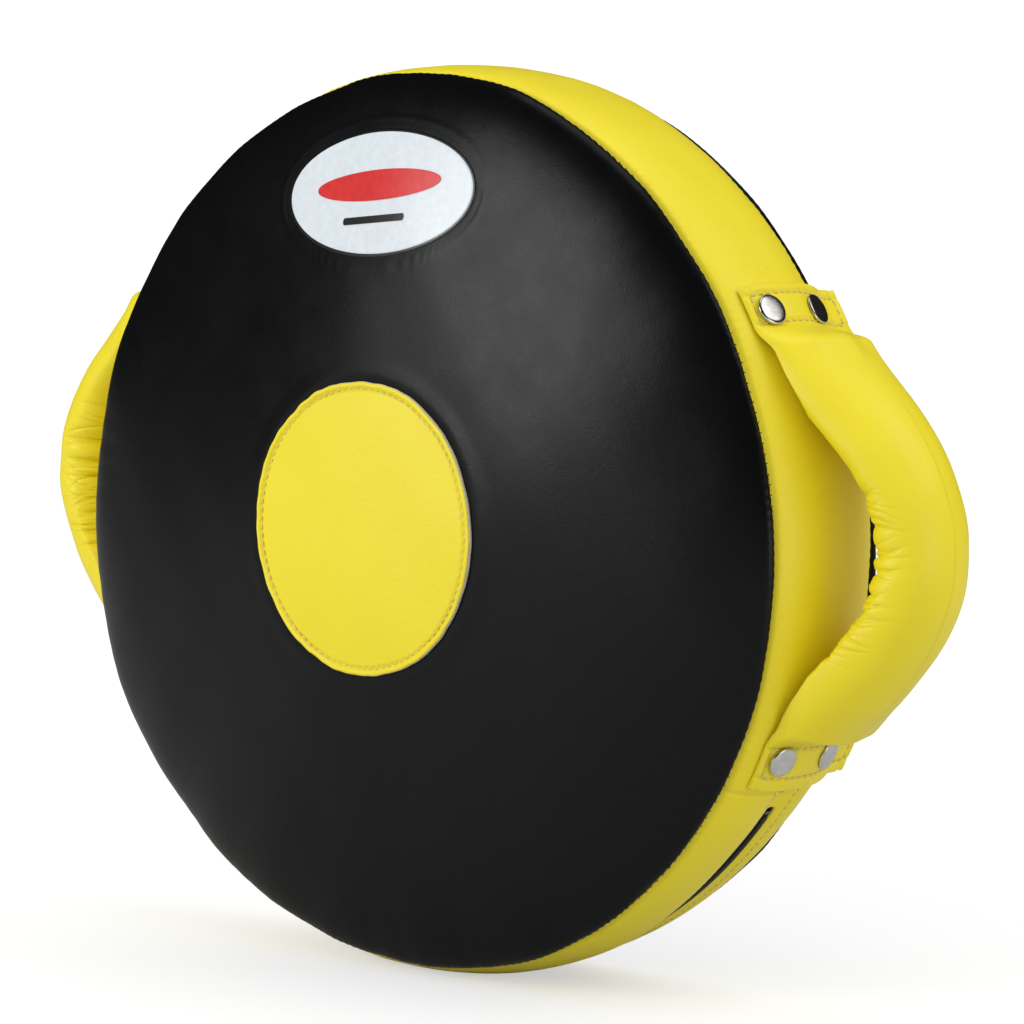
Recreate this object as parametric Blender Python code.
"""A round kick shield: a foam-filled leather drum with a black strike face, a yellow wall,
a padded grip on each side and a zip round the lower wall. It stands on its edge, with the
strike face towards -Y, the grips at +X and -X, and the floor at Z = 0. Metres, +Z up."""

import math

import bmesh
import bpy
from mathutils import Matrix, Vector

# Drum. A depth is measured from the front seam towards the back panel.
SEAM_RADIUS = 0.215
OVAL = 0.015
SAG = 0.008
WALL_WIDTH = 0.070
WALL_BULGE = 0.008
BULGE_POWER = 2.6
SKIN = 0.0022
FACE_RIM = 0.017
FACE_CROWN = 0.018
BACK_RIM = 0.014
BACK_CROWN = 0.002
FLOOR_FLAT = 0.003
GAP = 0.0003

# Pieces on the strike face
DISC_RADIUS = 0.069
DISC_THICK = 0.0014
LABEL_HALF_WIDTH = 0.0605
LABEL_HALF_HEIGHT = 0.030
LABEL_RISE = 0.157
LABEL_THICK = 0.0010

# Foam filling
FOAM_INSET = 0.0065
FOAM_BULGE = 0.005
FOAM_FRONT_DEPTH = 0.006
FOAM_BACK_DEPTH = 0.052
FOAM_UNDER_SKIN = 0.0032

# Grips and their tabs. Angles are up or down from the drum's middle, seen from the front.
GRIP_DEPTH = 0.044
GRIP_ENDS = {"upper": math.radians(24.0), "lower": math.radians(21.6)}
GRIP_LIFT = 0.003
GRIP_FINGER_ROOM = 0.0163
GRIP_END_RISE = 0.013
GRIP_MID_RISE = 0.0453
GRIP_HALF_WIDTH = 0.0195
GRIP_END_HALF_WIDTH = 0.033
GRIP_PIVOT_X = 0.207
LEFT_RAISE = math.radians(4.8)  # how much higher round the drum the left grip is sewn on
GRIP_FOAM_SHARE = 0.86
WEBBING_SHARE = 0.98
WEBBING_HALF_WIDTH = 0.0125
WEBBING_HALF_THICK = 0.0009
TAB_STARTS = {"upper": math.radians(24.6), "lower": math.radians(22.2)}
TAB_ENDS = {"upper": math.radians(30.5), "lower": math.radians(29.2)}
TAB_DEPTHS = (0.0085, 0.012, 0.019, 0.035, 0.044, 0.053, 0.063, 0.072, 0.081)
TAB_BEND_DEPTH = 0.063
TAB_THICK = 0.003
TAB_LEAST_RISE = 0.0015
TAB_STEP = math.radians(2.06)
PATCH_DEPTHS = (0.007, 0.012, 0.019, 0.035, 0.053, 0.063)
PATCH_MARGIN = math.radians(1.5)
PATCH_THICK = 0.0018

# Rivets
RIVET_ANGLES = {"upper": math.radians(27.3), "lower": math.radians(24.9)}
RIVET_DEPTHS = {"front": 0.0195, "rear": 0.052}
RIVET_CAP_RADIUS = 0.0074
RIVET_CAP_HEIGHT = 0.002
RIVET_CAP_RIM = 0.0006
RIVET_CAP_SHOULDER = 0.0008
RIVET_POST_RADIUS = 0.0015
RIVET_HOLE_DEPTH = 0.024
WASHER_RADIUS = 0.0065
WASHER_CLEARANCE = 0.0009
WASHER_THICK = 0.0012
WASHER_RIM = 0.0004

# Zip, on the circular lower part of the wall
WALL_JOIN = math.radians(30.0)
ZIP_DEPTH = 0.040
ZIP_SLOT_HALF = 0.004
ZIP_START = math.radians(37.1)
COIL_START = math.radians(38.1)
TAPE_START = math.radians(35.5)
ZIP_STEP = math.radians(4.0)
COVER_START = math.radians(34.2)
STOP_START = math.radians(37.4)
STOP_END = math.radians(37.9)
TAPE_HALF_WIDTH = 0.011
TAPE_THICK = 0.0008
TAPE_SINK = 0.0056
COIL_WIDTH = 0.0015
COIL_HALF_GAP = 0.0006
COIL_HEIGHT = 0.0016
SLIDER_HALF_LENGTH = 0.0055
SLIDER_HALF_WIDTH = 0.0036
SLIDER_TOP = -0.0007
SLIDER_PLATE = 0.0012
SLIDER_PARK = math.radians(140.4)
NECK_LENGTH = 0.002
NECK_HALF_WIDTH = 0.00028
BRIDGE_HALF_WIDTH = 0.0009
BRIDGE_HALF_LENGTH = 0.0037
BRIDGE_THICK = 0.0012
BRIDGE_TOP = 0.0031
PULL_HALF_WIDTH = 0.0028
PULL_LENGTH = 0.020
PULL_THICK = 0.0012
PULL_AXIS_RISE = 0.0006
PULL_ROUNDING = 0.0018
PULL_WINDOW = (-0.0050, 0.0013)
PULL_EYE = (-0.0175, -0.0125, 0.0010)

STEP = math.radians(6.0)


def oval_radius(angle):
    """The seams' radius: wider than high, and slightly heavy at the bottom."""
    return SEAM_RADIUS * (1 + OVAL * math.cos(2 * angle) - SAG * math.sin(3 * angle))


# The zipped part of the wall is one arc, through the oval at WALL_JOIN and at the bottom.
JOIN_RADIUS = oval_radius(-WALL_JOIN)
BOTTOM_RADIUS = oval_radius(-math.pi / 2)
ZIP_RISE = (JOIN_RADIUS**2 - BOTTOM_RADIUS**2) / (
    2 * (BOTTOM_RADIUS - JOIN_RADIUS * math.sin(WALL_JOIN))
)
ZIP_SEAM_RADIUS = BOTTOM_RADIUS + ZIP_RISE

FRONT_DEPTH = -(FACE_RIM + FACE_CROWN + GAP + DISC_THICK)
BACK_DEPTH = WALL_WIDTH + BACK_RIM + BACK_CROWN
Y_OF_SEAM = -(FRONT_DEPTH + BACK_DEPTH) / 2
AXIS_Z = BOTTOM_RADIUS + WALL_BULGE - FLOOR_FLAT


def seam_radius(angle):
    if math.sin(angle) > -math.sin(WALL_JOIN) - 1e-9:
        return oval_radius(angle)
    across = ZIP_RISE * math.cos(angle)
    return ZIP_RISE * math.sin(angle) + math.sqrt(ZIP_SEAM_RADIUS**2 - across**2)


def bulge(depth):
    half = WALL_WIDTH / 2
    return WALL_BULGE * (1 - abs((depth - half) / half) ** BULGE_POWER)


def bulge_slope(depth):
    half = WALL_WIDTH / 2
    t = (depth - half) / half
    steep = WALL_BULGE * BULGE_POWER * abs(t) ** (BULGE_POWER - 1) / half
    return -math.copysign(steep, t)


def face_height(ratio):
    """How far the strike face stands in front of its seam, at a share of the seam's radius."""
    rolled = FACE_RIM * max(0.0, 1 - ratio**2.5) ** 0.32
    return rolled + FACE_CROWN * (1 - ratio**2)


def back_height(ratio):
    rolled = BACK_RIM * max(0.0, 1 - ratio**2.8) ** 0.35
    return rolled + BACK_CROWN * (1 - ratio**2)


def at(angle, radius, depth, least_z=0.0):
    """The point at an angle and a radius round the drum's axis, kept above a level."""
    z = AXIS_Z + radius * math.sin(angle)
    return Vector((radius * math.cos(angle), depth + Y_OF_SEAM, max(z, least_z)))


def at_zip(angle, radius, depth):
    """The same round the zip's own centre."""
    x = radius * math.cos(angle)
    return Vector((x, depth + Y_OF_SEAM, AXIS_Z + ZIP_RISE + radius * math.sin(angle)))


def angles(start, end, step=STEP):
    count = max(1, round(abs(end - start) / step))
    return [start + (end - start) * i / count for i in range(count + 1)]


# Materials


def material(name, colour, roughness, metallic=0.0):
    made = bpy.data.materials.new(name)
    made.use_nodes = True
    shader = made.node_tree.nodes["Principled BSDF"]
    shader.inputs["Base Color"].default_value = (*colour, 1.0)
    shader.inputs["Roughness"].default_value = roughness
    shader.inputs["Metallic"].default_value = metallic
    return made


def make_materials():
    return {
        "black_leather": material("black_leather", (0.012, 0.012, 0.013), 0.42),
        "yellow_leather": material("yellow_leather", (0.86, 0.74, 0.07), 0.45),
        "label_vinyl": material("label_vinyl", (0.83, 0.84, 0.86), 0.35),
        "impact_foam": material("impact_foam", (0.10, 0.10, 0.11), 0.9),
        "core_foam": material("core_foam", (0.80, 0.78, 0.70), 0.9),
        "backing_foam": material("backing_foam", (0.30, 0.30, 0.32), 0.9),
        "grip_foam": material("grip_foam", (0.16, 0.16, 0.17), 0.9),
        "webbing": material("webbing", (0.03, 0.03, 0.03), 0.8),
        "split_leather": material("split_leather", (0.34, 0.22, 0.13), 0.8),
        "nickel": material("nickel", (0.78, 0.77, 0.74), 0.18, 1.0),
        "zip_tape": material("zip_tape", (0.015, 0.015, 0.016), 0.85),
        "zip_coil": material("zip_coil", (0.02, 0.02, 0.022), 0.4),
        "zip_metal": material("zip_metal", (0.10, 0.10, 0.11), 0.3, 1.0),
    }


# Mesh helpers


def dress(mesh, slot):
    mesh.materials.append(slot)
    mesh.shade_smooth()
    mesh.set_sharp_from_angle(angle=math.radians(40))


def link_object(name, data):
    obj = bpy.data.objects.new(name, data)
    bpy.context.scene.collection.objects.link(obj)
    return obj


def add_object(name, mesh, slot):
    dress(mesh, slot)
    return link_object(name, mesh)


def finish(bm, name):
    bmesh.ops.recalc_face_normals(bm, faces=bm.faces)
    mesh = bpy.data.meshes.new(name)
    bm.to_mesh(mesh)
    bm.free()
    return mesh


def bridge(bm, first, second):
    for i, corner in enumerate(first):
        j = (i + 1) % len(first)
        bm.faces.new((corner, first[j], second[j], second[i]))


def loft_mesh(name, sections, ring=False):
    """A solid through closed sections of equal length. A ring joins the last to the first."""
    bm = bmesh.new()
    loops = [[bm.verts.new(p) for p in section] for section in sections]
    for first, second in zip(loops, loops[1:]):
        bridge(bm, first, second)
    if ring:
        bridge(bm, loops[-1], loops[0])
    else:
        bm.faces.new(loops[0])
        bm.faces.new(loops[-1])
    return finish(bm, name)


def dome_mesh(name, top, rings, bottom):
    """A solid through rings, closed by a fan of triangles to a point at each end."""
    bm = bmesh.new()
    loops = [[bm.verts.new(p) for p in ring] for ring in rings]
    for first, second in zip(loops, loops[1:]):
        bridge(bm, first, second)
    for tip, loop in ((top, loops[0]), (bottom, loops[-1])):
        apex = bm.verts.new(tip)
        for i, corner in enumerate(loop):
            bm.faces.new((apex, corner, loop[(i + 1) % len(loop)]))
    return finish(bm, name)


def add_box(bm, low, high):
    size = [b - a for a, b in zip(low, high)]
    middle = [(a + b) / 2 for a, b in zip(low, high)]
    place = Matrix.Translation(middle) @ Matrix.Diagonal((*size, 1.0))
    bmesh.ops.create_cube(bm, size=1.0, matrix=place)


def helper_box(name, low, high):
    bm = bmesh.new()
    add_box(bm, low, high)
    return as_helper(name, finish(bm, name))


def as_helper(name, mesh):
    obj = link_object(name, mesh)
    obj.hide_render = True
    obj.display_type = "WIRE"
    return obj


def boolean(obj, other, operation):
    cut = obj.modifiers.new(other.name, "BOOLEAN")
    cut.operation = operation
    cut.object = other
    cut.solver = "EXACT"


def pivot(name, location, parent=None):
    empty = link_object(name, None)
    empty.empty_display_size = 0.02
    empty.location = location
    if parent:
        hang_on(empty, parent)
    return empty


def hang_on(obj, empty):
    """Parents without moving. No empty here is turned or scaled."""
    obj.parent = empty
    obj.matrix_parent_inverse = Matrix.Translation(empty.location).inverted()


# Drum


def panel_ratios(count, power=2.2):
    """Shares of the radius from the middle to the edge, close together at the edge."""
    return [1 - (i / count) ** power for i in range(count - 1, -1, -1)]


def panel(name, height, seam_depth, side, slot, rings):
    """A dished leather skin. side is -1 for the strike face and 1 for the back."""
    round_angles = angles(0, 2 * math.pi)[:-1]

    def ring(ratio, inset):
        scale = 1 - inset / SEAM_RADIUS
        depth = seam_depth + side * max(height(ratio) - inset, 0.0)
        return [at(a, seam_radius(a) * ratio * scale, depth) for a in round_angles]

    outer = [ring(ratio, 0.0) for ratio in panel_ratios(rings)]
    inner = [ring(ratio, SKIN) for ratio in panel_ratios(rings - 3)]
    top = at(0, 0, seam_depth + side * height(0))
    bottom = at(0, 0, seam_depth + side * (height(0) - SKIN))
    return add_object(name, dome_mesh(name, top, outer + inner[::-1], bottom), slot)


def wall_piece(name, start, end, depths, slot):
    def section(angle):
        seam = seam_radius(angle)
        outer = [at(angle, seam + bulge(d), d) for d in depths]
        inner = [at(angle, seam + bulge(d) - SKIN, d, SKIN) for d in depths]
        return outer + inner[::-1]

    sections = [section(a) for a in angles(start, end)]
    return add_object(name, loft_mesh(name, sections), slot)


def on_face(x, z, lift):
    """A point on the strike face, lifted off it."""
    angle = math.atan2(z, x)
    ratio = math.hypot(x, z) / seam_radius(angle)
    return Vector((x, Y_OF_SEAM - face_height(ratio) - lift, AXIS_Z + z))


def face_patch(name, half_width, half_height, rise, lift, thick, slot, corners=40):
    """An oval patch that lies on the strike face."""

    def ring(share, up):
        turns = [2 * math.pi * i / corners for i in range(corners)]
        ends = [(half_width * math.cos(t), half_height * math.sin(t)) for t in turns]
        return [on_face(share * x, rise + share * z, up) for x, z in ends]

    shares = (0.4, 0.75, 1.0)
    outer = [ring(share, lift + thick) for share in shares]
    inner = [ring(share, lift) for share in shares[::-1]]
    top = on_face(0, rise, lift + thick)
    bottom = on_face(0, rise, lift)
    return add_object(name, dome_mesh(name, top, outer + inner, bottom), slot)


def foam_ring(ratio, depth, corners=48):
    turns = [2 * math.pi * i / corners for i in range(corners)]
    share = bulge(depth) / WALL_BULGE if 0 <= depth <= WALL_WIDTH else 0.0
    radius = FOAM_BULGE * share - FOAM_INSET
    return [at(a, ratio * (seam_radius(a) + radius), depth) for a in turns]


def foam_layer(name, rings, slot):
    """rings are (ratio, depth) pairs from the front face's middle round to the rear's."""
    loops = [foam_ring(ratio, depth) for ratio, depth in rings]
    top = at(0, 0, rings[0][1])
    bottom = at(0, 0, rings[-1][1])
    return add_object(name, dome_mesh(name, top, loops, bottom), slot)


def make_foam(slots):
    def front(ratio):
        return ratio, min(FOAM_UNDER_SKIN - face_height(ratio), FOAM_UNDER_SKIN)

    def rear(ratio):
        return ratio, WALL_WIDTH + back_height(ratio) - FOAM_UNDER_SKIN

    split_front = FOAM_FRONT_DEPTH + GAP
    split_back = FOAM_BACK_DEPTH - GAP
    faces = [0.3, 0.6, 0.8, 0.92, 0.98, 1.0]
    impact = [front(r) for r in faces] + [(1.0, FOAM_FRONT_DEPTH), (0.5, FOAM_FRONT_DEPTH)]
    middle = (FOAM_FRONT_DEPTH + FOAM_BACK_DEPTH) / 2
    core = [(0.5, split_front), (1.0, split_front), (1.0, middle)]
    core += [(1.0, split_back), (0.5, split_back)]
    backing = [(0.5, FOAM_BACK_DEPTH), (1.0, FOAM_BACK_DEPTH)]
    backing += [rear(r) for r in (1.0, 0.97, 0.85, 0.4)]
    foam_layer("impact_foam", impact, slots["impact_foam"])
    foam_layer("core_foam", core, slots["core_foam"])
    foam_layer("backing_foam", backing, slots["backing_foam"])


def make_drum(slots, holes):
    panel("front_panel", face_height, -GAP / 2, -1, slots["black_leather"], 8)
    panel("back_panel", back_height, WALL_WIDTH + GAP / 2, 1, slots["black_leather"], 6)
    edge = GAP / 2
    full = (edge, 0.007, 0.012, 0.019, 0.035, 0.053, 0.063, WALL_WIDTH - edge)
    front = (edge, 0.007, 0.012, 0.019, ZIP_DEPTH - ZIP_SLOT_HALF)
    rear = (ZIP_DEPTH + ZIP_SLOT_HALF, 0.053, 0.063, WALL_WIDTH - edge)
    join = GAP / SEAM_RADIUS / 2
    yellow = slots["yellow_leather"]
    start = -WALL_JOIN + join
    upper = wall_piece("wall_upper", start, math.pi - start, full, yellow)
    boolean(upper, holes, "DIFFERENCE")
    start = -WALL_JOIN - join
    wall_piece("wall_lower_front", start, -math.pi - start, front, yellow)
    wall_piece("wall_lower_rear", start, -math.pi - start, rear, yellow)
    make_foam(slots)


def make_face_patches(slots):
    radius = DISC_RADIUS
    slot = slots["yellow_leather"]
    face_patch("target_disc", radius, radius, 0, GAP, DISC_THICK, slot)
    across = (LABEL_HALF_WIDTH, LABEL_HALF_HEIGHT)
    slot = slots["label_vinyl"]
    face_patch("label_patch", *across, LABEL_RISE, 2 * GAP, LABEL_THICK, slot, 32)


# Tabs and rivets


def tab_rise(depth):
    """How far the underside of a tab is from the seams' radius. It stands off the rear seam."""
    if depth <= TAB_BEND_DEPTH:
        return bulge(depth) + GAP
    fall = bulge_slope(TAB_BEND_DEPTH) * (depth - TAB_BEND_DEPTH)
    return max(bulge(TAB_BEND_DEPTH) + fall, TAB_LEAST_RISE) + GAP


def plate(name, turns, depths, rise, thick, slot):
    """A curved plate on the wall, over the angles and depths given."""

    def section(angle):
        seam = seam_radius(angle)
        outer = [at(angle, seam + rise(d) + thick, d) for d in depths]
        inner = [at(angle, seam + rise(d), d) for d in depths]
        return outer + inner[::-1]

    return add_object(name, loft_mesh(name, [section(a) for a in turns]), slot)


def on_side(side, level, angle):
    """An angle of the upper right quarter, taken to the side and level named."""
    turned = angle if level == "upper" else -angle
    return turned if side == "right" else math.pi - LEFT_RAISE - turned


def patch_rise(depth):
    return bulge(depth) - SKIN - 2 * GAP - PATCH_THICK


def make_tab(side, level, slots, holes):
    start, end = TAB_STARTS[level], TAB_ENDS[level]
    turns = [on_side(side, level, a) for a in angles(start, end, TAB_STEP)]
    name = f"grip_tab_{side}_{level}"
    yellow = slots["yellow_leather"]
    tab = plate(name, turns, TAB_DEPTHS, tab_rise, TAB_THICK, yellow)
    boolean(tab, holes, "DIFFERENCE")
    spread = angles(start - PATCH_MARGIN, end + PATCH_MARGIN, TAB_STEP)
    turns = [on_side(side, level, a) for a in spread]
    name = f"reinforcement_{side}_{level}"
    split = slots["split_leather"]
    inside = plate(name, turns, PATCH_DEPTHS, patch_rise, PATCH_THICK, split)
    boolean(inside, holes, "DIFFERENCE")


def turned_mesh(name, profile, corners=12):
    """A solid turned about Z, from (radius, height) pairs that start and end on the axis."""
    turns = [2 * math.pi * i / corners for i in range(corners)]
    rings = [
        [Vector((r * math.cos(t), r * math.sin(t), z)) for t in turns]
        for r, z in profile[1:-1]
    ]
    ends = [Vector((0, 0, profile[i][1])) for i in (0, -1)]
    return dome_mesh(name, ends[0], rings, ends[1])


def rivet_places():
    """The name of each rivet, with the frame of the wall's surface under it."""
    for side in ("right", "left"):
        for level in ("upper", "lower"):
            angle = on_side(side, level, RIVET_ANGLES[level])
            for place, depth in RIVET_DEPTHS.items():
                foot = at(angle, seam_radius(angle) + bulge(depth), depth)
                out = Vector((math.cos(angle), -bulge_slope(depth), math.sin(angle)))
                turn = out.to_track_quat("Z", "Y")
                yield f"{side}_{level}_{place}", foot, turn


def rivet_holes():
    """Every rivet hole as one cutter."""
    bm = bmesh.new()
    radius = RIVET_POST_RADIUS + GAP
    for _, foot, turn in rivet_places():
        place = Matrix.Translation(foot) @ turn.to_matrix().to_4x4()
        bmesh.ops.create_cone(
            bm,
            cap_ends=True,
            segments=12,
            radius1=radius,
            radius2=radius,
            depth=RIVET_HOLE_DEPTH,
            matrix=place,
        )
    return as_helper("rivet_holes", finish(bm, "rivet_holes"))


def make_rivets(slots):
    seat = TAB_THICK + 3 * GAP
    top = seat + RIVET_CAP_HEIGHT
    reach = -SKIN - PATCH_THICK - 3 * GAP
    outer = RIVET_CAP_RADIUS
    cap = [(0, top), (0.6 * outer, top - GAP), (0.93 * outer, top - RIVET_CAP_SHOULDER)]
    cap += [(outer, seat + RIVET_CAP_RIM), (0.94 * outer, seat), (RIVET_POST_RADIUS, seat)]
    cap += [(RIVET_POST_RADIUS, reach), (0, reach)]
    cap_mesh = turned_mesh("rivet_cap", cap)
    # The washer keeps clear of the patch, whose inner side curves towards it.
    under = reach - WASHER_CLEARANCE
    outer = WASHER_RADIUS
    back = [(0, under), (0.9 * outer, under), (outer, under - WASHER_RIM)]
    back += [(0.6 * outer, under - WASHER_THICK), (0, under - WASHER_THICK)]
    back_mesh = turned_mesh("rivet_back", back)
    for mesh in (cap_mesh, back_mesh):
        dress(mesh, slots["nickel"])
    for name, foot, turn in rivet_places():
        for kind, mesh in (("rivet", cap_mesh), ("rivet_back", back_mesh)):
            rivet = link_object(f"{kind}_{name}", mesh)
            rivet.location = foot
            rivet.rotation_mode = "QUATERNION"
            rivet.rotation_quaternion = turn


# Grips


def grip_outside(share):
    return GRIP_END_RISE + GRIP_MID_RISE * math.cos(math.pi / 2 * abs(share)) ** 1.2


def grip_inside(share):
    return GRIP_LIFT + GRIP_FINGER_ROOM * max(0.0, 1 - (share / 0.66) ** 2) ** 1.3


def grip_half_width(share):
    t = min(max((abs(share) - 0.35) / 0.65, 0.0), 1.0)
    smooth = t * t * (3 - 2 * t)
    return GRIP_HALF_WIDTH + (GRIP_END_HALF_WIDTH - GRIP_HALF_WIDTH) * smooth


def grip_section(side, share, half_thick, half_width, corners=16, power=1.0):
    """An oval section of a grip. share runs from -1 at the lower end to 1 at the upper end."""
    end = GRIP_ENDS["upper" if share > 0 else "lower"]
    turn = on_side(side, "upper", share * end)
    middle = (grip_outside(share) + grip_inside(share)) / 2
    base = seam_radius(turn) + WALL_BULGE + middle

    def rounded(value):
        return math.copysign(abs(value) ** power, value)

    section = []
    for i in range(corners):
        t = 2 * math.pi * (i + 0.5) / corners
        radius = base + half_thick * rounded(math.cos(t))
        section.append(at(turn, radius, GRIP_DEPTH + half_width * rounded(math.sin(t))))
    return section


def padded_section(side, share, inset):
    half_thick = (grip_outside(share) - grip_inside(share)) / 2 - inset
    return grip_section(side, share, half_thick, grip_half_width(share) - inset)


def flat_section(side, share, extra):
    half_thick = WEBBING_HALF_THICK + extra
    half_width = WEBBING_HALF_WIDTH + extra
    return grip_section(side, share, half_thick, half_width, power=0.35)


def shares(reach, count):
    return [reach * (2 * i / count - 1) for i in range(count + 1)]


def make_grip(side, slots):
    centre = at(on_side(side, "upper", 0), GRIP_PIVOT_X, GRIP_DEPTH)
    empty = pivot(f"grip_{side}_pivot", centre)

    outer = [padded_section(side, s, 0.0) for s in shares(1.0, 18)]
    inner = [padded_section(side, s, SKIN) for s in shares(1.0, 18)[::-1]]
    mesh = loft_mesh(f"grip_cover_{side}", outer + inner, ring=True)
    hang_on(add_object(f"grip_cover_{side}", mesh, slots["yellow_leather"]), empty)

    stations = shares(GRIP_FOAM_SHARE, 12)
    outer = [padded_section(side, s, SKIN + 3 * GAP) for s in stations]
    channel = [flat_section(side, s, 2 * GAP) for s in stations[::-1]]
    mesh = loft_mesh(f"grip_foam_{side}", outer + channel, ring=True)
    hang_on(add_object(f"grip_foam_{side}", mesh, slots["grip_foam"]), empty)

    strap = [flat_section(side, s, 0.0) for s in shares(WEBBING_SHARE, 14)]
    mesh = loft_mesh(f"grip_webbing_{side}", strap)
    hang_on(add_object(f"grip_webbing_{side}", mesh, slots["webbing"]), empty)


# Zip


def zip_band(name, start, end, low, high, top, thick, slot):
    """A flat band round the zip's centre, between two depths."""

    def section(angle):
        edges = ((low, top), (high, top), (high, top - thick), (low, top - thick))
        return [at_zip(angle, radius, depth) for depth, radius in edges]

    sections = [section(a) for a in angles(start, end, ZIP_STEP)]
    return add_object(name, loft_mesh(name, sections), slot)


def zip_band_pair(kind, start, near, far, top, thick, slot):
    """The front and rear halves of a band, either side of the zip's middle."""
    span = (-start, start - math.pi)
    front = (ZIP_DEPTH - far, ZIP_DEPTH - near)
    rear = (ZIP_DEPTH + near, ZIP_DEPTH + far)
    zip_band(f"{kind}_front", *span, *front, top, thick, slot)
    zip_band(f"{kind}_rear", *span, *rear, top, thick, slot)


def slider_blocks():
    """The boxes of the slider, which lies along X with its outer side up and the wall at 0."""
    long = SLIDER_HALF_LENGTH
    wide = SLIDER_HALF_WIDTH
    near = COIL_HALF_GAP + COIL_WIDTH + GAP
    top = SLIDER_TOP - 0.0002
    side = -TAPE_SINK + GAP
    under = -TAPE_SINK - TAPE_THICK - GAP
    low = under - SLIDER_PLATE
    neck = NECK_HALF_WIDTH
    across = BRIDGE_HALF_WIDTH
    reach = BRIDGE_HALF_LENGTH
    foot = reach - BRIDGE_THICK
    bar = BRIDGE_TOP - BRIDGE_THICK
    # The bar and the neck each run into their neighbours, so that they join as one.
    inset = 0.0001
    return {
        "flange_front": ((-long, -wide, side), (long, -near, top)),
        "flange_rear": ((-long, near, side), (long, wide, top)),
        "neck": ((long - NECK_LENGTH, -neck, low + 2 * inset), (long, neck, top)),
        "under_plate": ((-long, -wide, low), (long, wide, under)),
        "bridge_foot_rear": ((-reach, -across, top), (-foot, across, BRIDGE_TOP - inset)),
        "bridge_foot_front": ((foot, -across, top), (reach, across, BRIDGE_TOP - inset)),
        "bridge_bar": ((inset - reach, -across, bar), (reach - inset, across, BRIDGE_TOP)),
    }


def make_slider(slots, radius):
    track = pivot("zip_track_centre", at_zip(0, 0, ZIP_DEPTH))
    turn = Matrix.Rotation(math.pi / 2 + SLIDER_PARK, 4, "Y")
    place = Matrix.Translation(at_zip(-SLIDER_PARK, radius, ZIP_DEPTH)) @ turn

    bm = bmesh.new()
    low = (-SLIDER_HALF_LENGTH, -SLIDER_HALF_WIDTH, SLIDER_TOP - SLIDER_PLATE)
    add_box(bm, low, (SLIDER_HALF_LENGTH, SLIDER_HALF_WIDTH, SLIDER_TOP))
    slider = add_object("zip_slider", finish(bm, "zip_slider"), slots["zip_metal"])
    for name, (low, high) in slider_blocks().items():
        block = helper_box(f"slider_{name}", low, high)
        block.matrix_world = place
        boolean(slider, block, "UNION")
    slider.matrix_world = place
    hang_on(slider, track)
    return place, track


def make_pull(slots, place, track):
    """The pull hangs straight down from the slider's bridge."""
    axis = place @ Vector((0, 0, PULL_AXIS_RISE))
    hinge = pivot("zip_pull_hinge", axis, track)
    half = PULL_THICK / 2
    wide = PULL_HALF_WIDTH
    bm = bmesh.new()
    add_box(bm, (-half, -wide, -PULL_LENGTH), (half, wide, half))
    long_edges = [e for e in bm.edges if abs(e.verts[0].co.x - e.verts[1].co.x) > half]
    end_edges = [e for e in long_edges if e.verts[0].co.z < -half]
    bmesh.ops.bevel(bm, geom=end_edges, offset=PULL_ROUNDING, segments=3, affect="EDGES")
    pull = add_object("zip_pull", finish(bm, "zip_pull"), slots["zip_metal"])
    through = 2 * PULL_THICK
    low, across = PULL_WINDOW
    window = helper_box("pull_window", (-through, -across, low), (through, across, -half))
    low, high, across = PULL_EYE
    eye = helper_box("pull_eye", (-through, -across, low), (through, across, high))
    for cutter in (window, eye):
        cutter.location = axis
        boolean(pull, cutter, "DIFFERENCE")
    pull.location = axis
    hang_on(pull, hinge)


def make_zip(slots):
    surface = ZIP_SEAM_RADIUS + bulge(ZIP_DEPTH)
    tape_top = surface - TAPE_SINK
    tape = slots["zip_tape"]
    coil = slots["zip_coil"]
    coil_top = tape_top + GAP + COIL_HEIGHT
    near = COIL_HALF_GAP
    zip_band_pair("zip_tape", TAPE_START, near, TAPE_HALF_WIDTH, tape_top, TAPE_THICK, tape)
    far = COIL_HALF_GAP + COIL_WIDTH
    zip_band_pair("zip_coil", COIL_START, near, far, coil_top, COIL_HEIGHT, coil)

    half = ZIP_SLOT_HALF - GAP
    low, high = ZIP_DEPTH - half, ZIP_DEPTH + half
    stop = (ZIP_DEPTH - far, ZIP_DEPTH + far)
    for side in ("right", "left"):
        turns = (COVER_START, ZIP_START, STOP_START, STOP_END)
        ends = [-a if side == "right" else a - math.pi for a in turns]
        yellow = slots["yellow_leather"]
        name = f"zip_end_cover_{side}"
        zip_band(name, *ends[:2], low, high, surface, SKIN, yellow)
        name = f"zip_stop_{side}"
        zip_band(name, *ends[2:], *stop, coil_top, COIL_HEIGHT, slots["zip_metal"])

    place, track = make_slider(slots, surface)
    make_pull(slots, place, track)


def main():
    for obj in list(bpy.data.objects):
        bpy.data.objects.remove(obj, do_unlink=True)
    slots = make_materials()
    holes = rivet_holes()
    make_drum(slots, holes)
    make_face_patches(slots)
    for side in ("right", "left"):
        for level in ("upper", "lower"):
            make_tab(side, level, slots, holes)
        make_grip(side, slots)
    make_rivets(slots)
    make_zip(slots)


main()
